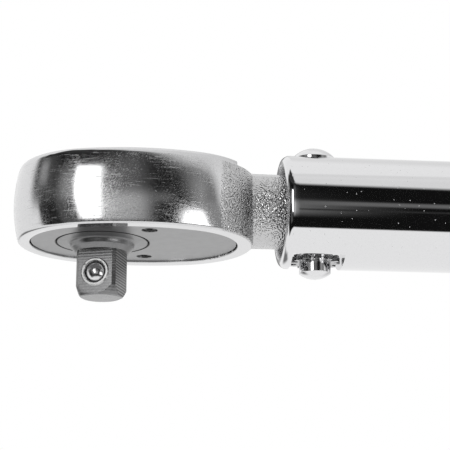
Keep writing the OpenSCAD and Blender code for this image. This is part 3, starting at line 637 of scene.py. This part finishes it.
# corner strips keep the black of the hardening, and the troughs of the feed marks get painted shade
corner = times(tree, on_bar, below(tree, (2 * square_half - corner_cut - face_margin) * mm,
                                   math_node(tree, "ADD", across_u, across_v)))
# painted shade: darker in the troughs of the feed marks, more on the two deep flanks
feed_mark_shade = times(tree, times_plus(tree, wave, -0.5, 0.5),
               times(tree, on_bar, times_plus(tree, flank, flank_share, feed_mark_shade_share)))
from_ball = length_of(tree, {0: u, 2: math_node(tree, "ADD", z, ball_down * mm)})
staked = times(tree, below(tree, from_ball, ring_r * mm),
               below(tree, v, -(square_half + ring_margin) * mm))
tint(tree, corner, corner_grey)
# painted shade in the feed marks
tint(tree, feed_mark_shade, feed_mark_shade_grey)
tint(tree, staked, ring_grey)
# painted shade: the collar goes near-black past this radius, in the gap under the plate
tint(tree, below(tree, gap_shade_r * mm, reach), gap_shade_grey)
dressed_copy("square_drive_bar", "drive_gear", drive_steel, "drive", 0.04)

# ---------------------------------------- retaining ball
# Ground ball from a bearing, pushed out of the square by a small spring.
# The staked ring keeps it in its hole.
bearing_steel, *_ = metal("bearing_steel", 0.66, 0.76, {
    "Roughness": 0.20, "Spread": 0.05, "Grain Scale": 2600.0}, 0.001)
# sphere of the solid's size and place: latitude p from the bottom, longitude q
low, high = (np.array(corner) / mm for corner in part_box("drive_ball"))
centre, r = (low + high) / 2, (high - low)[2] / 2
p, q = np.linspace(1e-4, math.pi - 1e-4, 48)[:, None], full_turn(96)[None, :]
unit = np.stack([np.sin(p) * np.cos(q), np.sin(p) * np.sin(q), -np.cos(p) + 0 * q], -1)
set_piece("retaining_ball", tidy_mesh(grid_mesh("ball", unit * r + centre), 80), bearing_steel,
          "ball", ["drive_ball"])

# ---------------------------------------- ratchet works
# Hardened pawl on its pin, reversing lever with its clip, and the plunger between them.
# All but the lever's thumb piece sit inside the head.


def dress(nodes, material):
    """Gives a CAD node's own object a finish."""
    for node in nodes:
        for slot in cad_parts[node].material_slots:
            slot.material = material


bright_ground, *_ = metal("bright_ground", 0.72, 0.82, {
    "Roughness": 0.10, "Spread": 0.04, "Grain Scale": 2600.0}, 0.001)
dress(["pawl"], black_oxide)
dress(["pawl_pin", "pawl_plunger"], bright_ground)
lever_chrome, *_ = metal("lever_chrome", 0.34, 0.46, {
    "Roughness": 0.20, "Spread": 0.10, "Grain Scale": 4200.0}, 0.002)
dressed_copy("reversing_lever", "reverse_lever", lever_chrome, "lever", 0.15, 28)

# ---------------------------------------- springs
# Coil springs of hard-drawn wire with closed ends, and the lever's clip of the same wire. The main
# spring is made in two lengths, a front one and a rear one.
spring_wire, *_ = metal("spring_wire", 0.16, 0.30, {
    "Roughness": 0.30, "Spread": 0.10, "Grain Scale": 3000.0}, 0.002)
closed_rise = 2.375                     # height of a closed turn, in radii of the wire
dress(["lever_clip"], spring_wire)


def coil(name, node, body, seat, heading, length, turn_r, wire_r, turns, closed,
         part=(0, 1), sides=12, steps_a_turn=32):
    """Wire on a helix from its seat along a heading. At a share t of the wire the angle is
    2*pi*turns*t, and the height is wire_r + (length - 2*wire_r)*rise(t), where rise is slow over
    the closed turns at each end. Only the part of it from t0 to t1 is made."""
    rising, end = length - 2 * wire_r, closed / turns
    low = closed * closed_rise * wire_r / rising
    steps = round((part[1] - part[0]) * turns * steps_a_turn) + 1
    t = np.linspace(*part, steps)[:, None, None]
    height = wire_r + rising * np.interp(t, (0, end, 1 - end, 1), (0, low, 1 - low, 1))
    a, b = 2 * math.pi * turns * t, full_turn(sides)[None, :, None]
    h = np.array(heading)
    u, v = np.array((-h[1], h[0], 0.0)), np.array((0.0, 0.0, 1.0))
    grid = (np.array(seat) + h * (height + wire_r * np.sin(b))
            + (turn_r + wire_r * np.cos(b)) * (u * np.cos(a) + v * np.sin(a)))
    mesh = tidy_mesh(grid_mesh(name, grid), 50)
    piece = set_piece(name, mesh, spring_wire, body, [node])
    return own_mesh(piece)


def level_heading(degrees):
    """Direction in the level plane, by its angle from the tube's direction."""
    return (math.cos(math.radians(degrees)), math.sin(math.radians(degrees)), 0.0)


coil("ball_spring", "drive_ball_spring", "drive", (0.64, 1.758, -ball_down),
     level_heading(-90 - square_turn), length=2.255, turn_r=1.295, wire_r=0.15, turns=4,
     closed=1.0)
coil("plunger_spring", "pawl_plunger_spring", "lever", (16.596, 0.575, 6.6),
     level_heading(-150), length=1.6, turn_r=0.55, wire_r=0.1, turns=5,
     closed=1.0)
spring_split = 0.2                      # share of the wire in the front length
for name, part, joint, travel in (("main_spring_front", (0, spring_split), "plunger_push", -1.35),
                                  ("main_spring_rear", (spring_split, 1), "handle_feed", 19.5)):
    coil(name, "main_spring", "wrench_tube", (89.6, 0, axis_z), (1.0, 0.0, 0.0), length=73.4,
         turn_r=5.5, wire_r=1.2, turns=18, closed=1.5, part=part)

# ---------------------------------------- tube
# Drawn steel tube, buffed along its length and chrome plated. Its mouth is rolled over,
# and it is drilled for the pivot, with a flat milled across it for the washer.
tube_chrome, tree, finish, rough, _ = metal("tube_chrome", 0.73, 0.79, {
    "Roughness": 0.045, "Spread": 0.03, "Ripple Scale": 260.0, "Speck Scale": 1250.0,
    "Grain Scale": 3200.0, "Speck Size": 0.11}, 0.0010)
tube_r, bore_r, mouth_x, tube_end_x = 8.85, 7.1, 27.6, 234.0
lip_x, lip_r, mouth_chamfer, end_chamfer = 1.25, 0.95, (0.5, 0.35), 0.6
pin_head_r, seat_gap, flat_w, flat_depth = 3.6, 0.1, 8.1, 1.2
pin_hole_r, plug_pin_x, plug_pin_r = 2.52, 192.0, 1.27
pivot_rings = np.linspace(29.5, 38.5, 19)       # close rings of points round the pivot's holes
drill_low, drill_high = -3, 18
bore_margin, bore_rough = 0.3, 0.5
# the bore is left as drawn, dull and grey
x, y, z = parts_of(tree, object_place(tree))
from_axis = length_of(tree, {1: y, 2: math_node(tree, "SUBTRACT", z, axis_z * mm)})
in_bore = below(tree, from_axis, (bore_r + bore_margin) * mm)
tree.links.new(times_plus(tree, in_bore, bore_rough, rough), finish["Roughness"])
outline = [(mouth_x + mouth_chamfer[0], bore_r), (mouth_x, bore_r + mouth_chamfer[1])]
outline += [(mouth_x + lip_x * (1 - math.cos(a)), tube_r - lip_r * (1 - math.sin(a)))
            for a in np.radians(np.linspace(0, 90, 12))]
outline += [(x, tube_r) for x in (*pivot_rings, 60, tube_end_x - end_chamfer)]
outline += [(tube_end_x, tube_r - end_chamfer), (tube_end_x, bore_r)]
seat_z = axis_z + math.sqrt(tube_r ** 2 - pin_head_r ** 2)
tube_mesh = carve(revolved("tube", outline, 160, wrap=True), [
    ("DIFFERENCE", peg("pivot_hole", pivot_x, 0, drill_low, drill_high, pin_hole_r)),
    ("DIFFERENCE", peg("pin_seat", pivot_x, 0, seat_z, drill_high, pin_head_r + seat_gap)),
    ("DIFFERENCE", block("washer_flat", (pivot_x - flat_w / 2, -12, -6),
                         (pivot_x + flat_w / 2, 12, axis_z - tube_r + flat_depth))),
    ("DIFFERENCE", peg("plug_pin_hole", plug_pin_x, 0, drill_low, drill_high, plug_pin_r)),
])
set_piece("chrome_tube", tube_mesh, tube_chrome, "wrench_tube", ["tube"])

# ---------------------------------------- pivot
# Domed pin through tube and shank, held from below by a domed screw on a toothed lock washer.
# Pin and screw are turned steel, ground bright; the washer is stamped and zinc plated.
zinc_plate, *_ = metal("zinc_plate", 0.34, 0.50, {
    "Roughness": 0.22, "Spread": 0.10, "Grain Scale": 4200.0}, 0.002)
for name, node, material, slot, bevel_mm in (
        ("pivot_pin_turned", "pivot_pin", bright_ground, "bright_steel", 0.04),
        ("pivot_screw_turned", "pivot_screw", bright_ground, "bright_steel", 0.04),
        ("toothed_washer", "lock_washer", zinc_plate, "dark_steel", 0.03)):
    dressed_copy(name, node, material, "wrench_tube", bevel_mm)

# ---------------------------------------- click works and adjuster
# Tilting block, push plunger, spring seat, thrust ball, adjusting screw and plug, with the lock's
# rod and balls. Steel, hardened or oiled black, with a nylon guide. They fill the tube and handle.
dress(["tilt_block", "thrust_ball", "nut_pins", "lock_rod", "lock_ball_upper", "lock_ball_lower"],
      bright_ground)
dress(["push_plunger", "spring_seat", "adjusting_screw"], tool_steel)
dress(["screw_nut", "handle_set_screws"], black_oxide)


def clouded(name, dark, light, scale):
    """Plain dull stuff whose colour drifts between two tones."""
    made = bpy.data.materials.new(name)
    made.use_nodes = True
    tree = made.node_tree
    finish = tree.nodes["Principled BSDF"].inputs
    tone = add_node(tree, "ShaderNodeMix", {
        0: noise(tree, object_place(tree), scale, 2.0), 6: dark, 7: light}, data_type="RGBA")
    tree.links.new(tone.outputs[2], finish["Base Color"])
    finish["Roughness"].default_value = 0.5
    return made


dress(["guide_ring"], clouded("guide_nylon", (0.72, 0.72, 0.68, 1), (0.84, 0.84, 0.80, 1), 600.0))

# ---------------------------------------- handle
# Steel sleeve with a bevelled thimble in front and a diamond-knurled grip, satin chrome plated.
# Set screws in its end hold it to the stem of the adjusting screw.
handle_chrome, *_ = metal("handle_chrome", 0.60, 0.72, {
    "Roughness": 0.20, "Spread": 0.08, "Grain Scale": 4200.0}, 0.002)
grip_r, sleeve_bore, stem_bore = 11.25, 9.0, 4.164
thimble_x, thimble_len, thimble_r, bevel_len = 158.0, 14.0, grip_r - 0.9, 6
grip_end_x, end_wall = 262.0, 6.5
knurl_low, knurl_inner_r, knurl_pitch, knurl_gap = 10.85, 10.6, 1.25, 0.05
knurl_x0, knurl_x1 = thimble_x + thimble_len + 0.8, grip_end_x - 8.4
guide_from, guide_to, guide_depth = thimble_x + 5.85, thimble_x + 10.95, 0.7
end_rings = [(8, 0), (7.2, 0.8), (5.2, 0.8), (4.4, 0), (1.6, 0), (0, 1.6)]  # from the end, deep
sleeve = [(thimble_x, sleeve_bore), (thimble_x, sleeve_bore + 0.35),
          (thimble_x + bevel_len, thimble_r), (thimble_x + thimble_len - 1, thimble_r),
          (thimble_x + thimble_len, grip_r - 0.3),
          (thimble_x + thimble_len + 0.6, grip_r), (knurl_x0, grip_r), (knurl_x0, knurl_low),
          (knurl_x1, knurl_low), (knurl_x1, grip_r)]
sleeve += [(grip_end_x - back_by, grip_r - deep) for back_by, deep in end_rings]
sleeve += [(grip_end_x, stem_bore), (grip_end_x - end_wall, stem_bore),
           (grip_end_x - end_wall, sleeve_bore), (guide_to, sleeve_bore),
           (guide_to, sleeve_bore + guide_depth), (guide_from, sleeve_bore + guide_depth),
           (guide_from, sleeve_bore)]


def knurl_band(name, x0, x1, low, high, inner_r, pitch):
    """Diamond knurl: a checkerboard of valley points at the low radius and peaks at the high
    one, each peak joined to its four valleys, over a plain inner wall."""
    columns = 2 * round(2 * math.pi * high / pitch)
    rows = 2 * round((x1 - x0) / pitch) + 1
    i, j = np.meshgrid(np.arange(rows), np.arange(columns), indexing="ij")
    peak = (i + j) % 2 == 1
    r = np.where(peak & (i > 0) & (i < rows - 1), high, low)
    t = 2 * math.pi * j / columns
    outer = round_axis(x0 + (x1 - x0) * i / (rows - 1), r, t).reshape(-1, 3)
    inner = round_axis(np.array([[x0], [x1]]), inner_r, t[:1]).reshape(-1, 3)

    def at(row, column):
        return row * columns + column % columns

    faces = []
    for di, dj, ei, ej in ((0, 1, 1, 0), (1, 0, 0, -1), (0, -1, -1, 0), (-1, 0, 0, 1)):
        use = peak & (i + min(di, ei) >= 0) & (i + max(di, ei) < rows)
        a, b = i[use], j[use]
        faces += np.stack([at(a, b), at(a + di, b + dj), at(a + ei, b + ej)], 1).tolist()
    # ring walls: outer front to inner front, inner back to outer back, and the bore between
    fronts, first, last = 0, rows * columns, (rows - 1) * columns
    second = first + columns
    c = np.arange(columns)
    n = (c + 1) % columns
    for near, far in ((first, fronts), (last, second), (second, first)):
        faces += np.stack([near + c, near + n, far + n, far + c], 1).tolist()
    mesh = bpy.data.meshes.new(name)
    mesh.from_pydata((np.concatenate([outer, inner]) * mm).tolist(), [], faces)
    return tidy_mesh(mesh, 12)


screw_x, screw_r, drill_reach = grip_end_x - 3, 1.52, 15
drill = revolved("set_screw_holes", [(-drill_reach, on_axis), (-drill_reach, screw_r),
                                     (drill_reach, screw_r), (drill_reach, on_axis)], 48, 0)
drill.transform(Matrix.Translation((screw_x * mm, 0, axis_z * mm))
                @ Matrix.Rotation(math.pi / 2, 4, "Z"))
sleeve_mesh = carve(revolved("sleeve", sleeve, 144, wrap=True), [("DIFFERENCE", drill)])
set_piece("handle_sleeve_turned", sleeve_mesh, handle_chrome, "handle",
          ["handle_sleeve"])
knurl_mesh = knurl_band("knurl", knurl_x0 + knurl_gap, knurl_x1 - knurl_gap, knurl_low + 0.02,
                        grip_r, knurl_inner_r, knurl_pitch)
set_piece("handle_knurl", knurl_mesh, handle_chrome, "handle", ["handle_sleeve"])

# ---------------------------------------- scales
# Torque scale along the tube and fine scale round the thimble: plain lines and numbers,
# etched and filled with black.
scale_ink = clouded("scale_ink", (0.02, 0.02, 0.02, 1), (0.07, 0.07, 0.07, 1), 2500.0)
scale_face = 150.0                  # degrees round the tube: 180 is the front, 90 the top
line_count, line_gap, first_gap, first_value, value_step = 14, 1.5, 1.3, 4, 2
base_len, base_w, base_gap, line_w, long_len, short_len = 22.0, 0.18, 0.4, 0.2, 3.0, 1.8
long_at, short_at, value_at, value_size = 10, 6, -13, 2.0   # degrees from the base line, and mm
ring_count, ring_value_x, ring_value_size, ink_depth = 10, 11.2, 1.7, 0.03
ring_long, ring_short = (2.6, 0.22, 3), (1.5, 0.18, 3)      # length, width, steps along it
ring_long_x, ring_short_x = 8.2, 7.6


def flat_text(words, size):
    """Numbers as flat points and faces, in millimetres, centred on the origin."""
    curve = bpy.data.curves.new("words", "FONT")
    curve.body, curve.size, curve.align_x, curve.align_y = words, size, "CENTER", "CENTER"
    carrier = add_object("words", curve)
    bpy.context.view_layer.update()
    mesh = bpy.data.meshes.new_from_object(
        carrier.evaluated_get(bpy.context.evaluated_depsgraph_get()))
    bpy.data.objects.remove(carrier)
    work = bmesh.new()
    work.from_mesh(mesh)
    bmesh.ops.remove_doubles(work, verts=work.verts, dist=1e-5)
    bmesh.ops.triangulate(work, faces=work.faces)
    for _ in range(2):
        long_edges = [edge for edge in work.edges if edge.calc_length() > size / 8]
        bmesh.ops.subdivide_edges(work, edges=long_edges, cuts=1)
        bmesh.ops.triangulate(work, faces=work.faces)
    work.to_mesh(mesh)
    work.free()
    points = np.empty(3 * len(mesh.vertices), np.float32)
    corners = np.empty(len(mesh.loops), np.int32)
    mesh.vertices.foreach_get("co", points)
    mesh.loops.foreach_get("vertex_index", corners)
    bpy.data.meshes.remove(mesh)
    return points.reshape(-1, 3)[:, :2].astype(float), corners.reshape(-1, 3)


def flat_line(length, width, steps=8):
    """A short line as flat points and faces: length across, width up, with steps along it."""
    u, v = np.meshgrid(np.linspace(-length / 2, length / 2, 2),
                       np.linspace(-width / 2, width / 2, steps), indexing="ij")
    k = np.arange(steps - 1)
    return (np.stack([u, v], -1).reshape(-1, 2),
            np.stack([k, k + steps, k + steps + 1, k + 1], 1))


def wrapped_marks(name, marks, radius, body):
    """Lays flat marks on a cylinder, x along the tube and y round it at the cylinder's radius.
    Faces that the flattening left upside down are turned, and a thin skin of ink stands outward."""
    points, faces, count = [], [], 0
    for (flat, corners), x, degrees, turned in marks:
        u, v = (-flat[:, 1], flat[:, 0]) if turned else (flat[:, 0], flat[:, 1])
        points.append(round_axis(x + u, radius, math.radians(degrees) - v / radius))
        first = flat[corners[:, 1]] - flat[corners[:, 0]]
        second = flat[corners[:, 2]] - flat[corners[:, 0]]
        upside_down = first[:, 0] * second[:, 1] < first[:, 1] * second[:, 0]
        faces += (np.where(upside_down[:, None], corners[:, ::-1], corners) + count).tolist()
        count += len(flat)
    mesh = bpy.data.meshes.new(name)
    mesh.from_pydata((np.concatenate(points) * mm).tolist(), [], faces)
    mesh.materials.append(scale_ink)
    made = add_object(name, mesh)
    ink = made.modifiers.new("ink", "SOLIDIFY")
    ink.thickness, ink.offset = ink_depth * mm, 1
    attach(made, body)
    return made


marks = [(flat_line(base_len, base_w, 4), thimble_x - base_gap - base_len / 2, scale_face, False)]
for step in range(line_count):
    x = thimble_x - first_gap - line_gap * step
    length, aside = (short_len, short_at) if step % 2 else (long_len, long_at)
    marks.append((flat_line(line_w, length), x, scale_face + aside, False))
    if step % 2 == 0:
        value = flat_text(str(first_value + value_step * step), value_size)
        marks.append((value, x, scale_face + value_at, True))
wrapped_marks("tube_scale", marks, tube_r, "wrench_tube")
ring_marks = []
for step in range(ring_count):
    angle = scale_face + 360 / ring_count * step
    between = angle + 180 / ring_count
    value = flat_text(str(value_step * step), ring_value_size)
    ring_marks.append((flat_line(*ring_long), thimble_x + ring_long_x, angle, False))
    ring_marks.append((value, thimble_x + ring_value_x, angle, True))
    ring_marks.append((flat_line(*ring_short), thimble_x + ring_short_x, between, False))
wrapped_marks("thimble_scale", ring_marks, thimble_r, "handle")

# ---------------------------------------- lock knob
# Turned steel knob with straight flutes, satin chrome plated like the handle. Screwed in, its
# stem pushes a rod that spreads two balls against the tube.
knob_r, knob_len, knob_gap = 8.0, 10.5, 0.9
stud_r, stud_len = 2.644, 8.0
flutes, flute_r, flute_depth = 20, 1.1, 0.5
k0 = grip_end_x + knob_gap
k1 = k0 + knob_len
stud_x = grip_end_x - stud_len
fluted = np.array([                 # along, radius, and 1 where the flutes are cut
    (stud_x, on_axis, 0), (stud_x, stud_r, 0), (k0, stud_r, 0), (k0, knob_r - 2.2, 0),
    (k0 + 1.4, knob_r - 2.2, 0), (k0 + 1.5, knob_r - 2.0, 1), (k0 + 1.9, knob_r - 1.1, 1),
    (k0 + 2.4, knob_r - 0.1, 1), (k0 + 2.6, knob_r, 1), (k1 - 1.4, knob_r, 1),
    (k1 - 1.1, knob_r - 0.1, 1), (k1 - 0.5, knob_r - 0.7, 1), (k1 - 0.06, knob_r - 1.12, 1),
    (k1, knob_r - 1.3, 0), (k1, 1.8, 0), (k1 - 0.5, 1.4, 0), (k1 - 0.5, on_axis, 0)])
along, radius, is_fluted = fluted[:, :1], fluted[:, 1:2], fluted[:, 2:3] > 0
flute_at = knob_r + flute_r - flute_depth               # from the knob's axis to a round cutter's
t = full_turn(flutes * 14)[None, :]
off = (t * flutes / (2 * math.pi) + 0.5) % 1 - 0.5      # way from the nearest cutter, in flutes
aside = flute_at * np.sin(off * 2 * math.pi / flutes)
chord = np.sqrt(np.maximum(flute_r ** 2 - aside ** 2, 0))
cut = flute_at * np.cos(off * 2 * math.pi / flutes) - chord
cut = np.where(np.abs(aside) < flute_r, cut, knob_r)
knob = round_axis(along, np.where(is_fluted, np.minimum(radius, cut), radius), t)
set_piece("lock_knob_turned", tidy_mesh(grid_mesh("knob", knob)), handle_chrome,
          "knob", ["lock_knob"])
